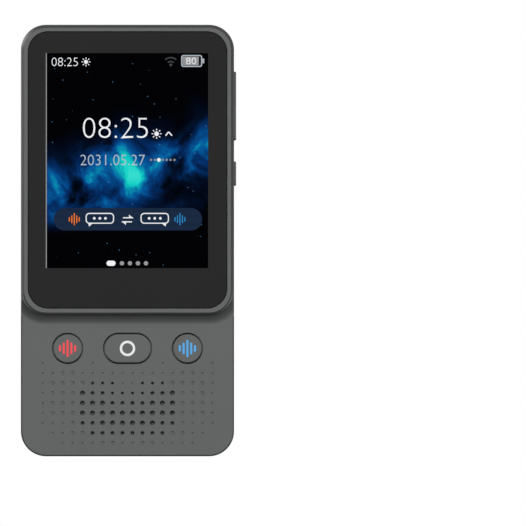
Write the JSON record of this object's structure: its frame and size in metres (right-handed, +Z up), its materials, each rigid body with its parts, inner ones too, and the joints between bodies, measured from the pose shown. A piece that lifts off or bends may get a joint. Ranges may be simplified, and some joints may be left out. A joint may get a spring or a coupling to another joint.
{
  "type": "handheld translator",
  "caption": "Upright handheld voice translator with a raised touch screen, front keys, a dotted speaker grille, side keys, a port in the top end and a round camera on the back.",
  "frame": {"origin": "under the middle of the body, on the surface that its bottom end stands on", "axes": "+Z up along the length of the device, -Y out of the screen, +X to the right seen from the front"},
  "size_m": [0.0577, 0.0172, 0.1156],
  "materials": {
    "graphite_plastic": "fine satin moulded texture",
    "key_plastic": "satin moulded, printed icons",
    "side_key_plastic": "satin moulded",
    "cover_glass": "polished, printed black behind",
    "display_glass": "polished",
    "tape": "black adhesive foam",
    "foam": "closed-cell foam",
    "speaker_cloth": "fine black acoustic cloth",
    "steel_sheet": "pressed sheet",
    "port_steel": "drawn and polished",
    "screw_steel": "zinc plated",
    "switch_steel": "pressed",
    "black_plastic": "moulded",
    "circuit_board": "green solder mask",
    "chip_resin": "moulded resin",
    "battery_pouch": "laminated pouch",
    "speaker_cone": "pressed film",
    "magnet": "nickel plated",
    "ring_aluminium": "anodised grey, satin",
    "camera_window": "polished, printed black behind",
    "lens_glass": "coated, violet and blue reflections",
    "boot_rubber": "moulded",
    "ribbon_film": "polyimide film"
  },
  "bodies": {
    "body": {"front_shell": "graphite_plastic", "rear_shell": "graphite_plastic", "cover_glass": "cover_glass", "glass_tape": "tape", "battery_tape": "tape", "speaker_gasket": "foam", "speaker_cloth": "speaker_cloth", "display_panel": "display_glass", "display_tray": "steel_sheet", "radio_shield": "steel_sheet", "usb_shell": "port_steel", "usb_tongue": "black_plastic", "main_board": "circuit_board", "camera_board": "circuit_board", "processor": "chip_resin", "memory_chip": "chip_resin", "power_chip": "chip_resin", "board_screws": "screw_steel", "talk_switch_left": "switch_steel", "home_switch": "switch_steel", "talk_switch_right": "switch_steel", "power_switch": "switch_steel", "volume_down_switch": "switch_steel", "volume_up_switch": "switch_steel", "battery": "battery_pouch", "speaker_frame": "black_plastic", "speaker_cone": "speaker_cone", "speaker_magnet": "magnet", "camera_ring": "ring_aluminium", "camera_window": "camera_window", "camera_lens": "lens_glass", "lens_barrel": "black_plastic", "camera_module": "black_plastic", "microphone": "switch_steel", "mic_boot": "boot_rubber", "display_connector": "black_plastic", "battery_connector": "black_plastic", "display_ribbon": "ribbon_film", "battery_ribbon": "ribbon_film", "speaker_ribbon": "ribbon_film", "mic_ribbon": "ribbon_film", "antenna": "ribbon_film"},
    "talk_key_left": {"talk_key_left": "key_plastic"},
    "home_key": {"home_key": "key_plastic"},
    "talk_key_right": {"talk_key_right": "key_plastic"},
    "power_key": {"power_key": "side_key_plastic"},
    "volume_key": {"volume_key": "side_key_plastic"}
  },
  "joints": [
    {"name": "talk_key_left_press", "type": "slide", "parent": "body", "child": "talk_key_left", "axis": [0, 1, 0], "range_m": [0, 0.0003], "stiffness_N_per_m": 1500, "springref_m": -0.0005},
    {"name": "home_key_press", "type": "slide", "parent": "body", "child": "home_key", "axis": [0, 1, 0], "range_m": [0, 0.0003], "stiffness_N_per_m": 1500, "springref_m": -0.0005},
    {"name": "talk_key_right_press", "type": "slide", "parent": "body", "child": "talk_key_right", "axis": [0, 1, 0], "range_m": [0, 0.0003], "stiffness_N_per_m": 1500, "springref_m": -0.0005},
    {"name": "power_key_press", "type": "slide", "parent": "body", "child": "power_key", "axis": [-1, 0, 0], "range_m": [0, 0.00025], "stiffness_N_per_m": 1500, "springref_m": -0.0005},
    {"name": "volume_key_rock", "type": "hinge", "parent": "body", "child": "volume_key", "pos_m": [0.02565, -0.0012, 0.0938], "axis": [0, 1, 0], "range_deg": [-1.2, 1.2], "stiffness_Nm_per_rad": 0.1}
  ]
}
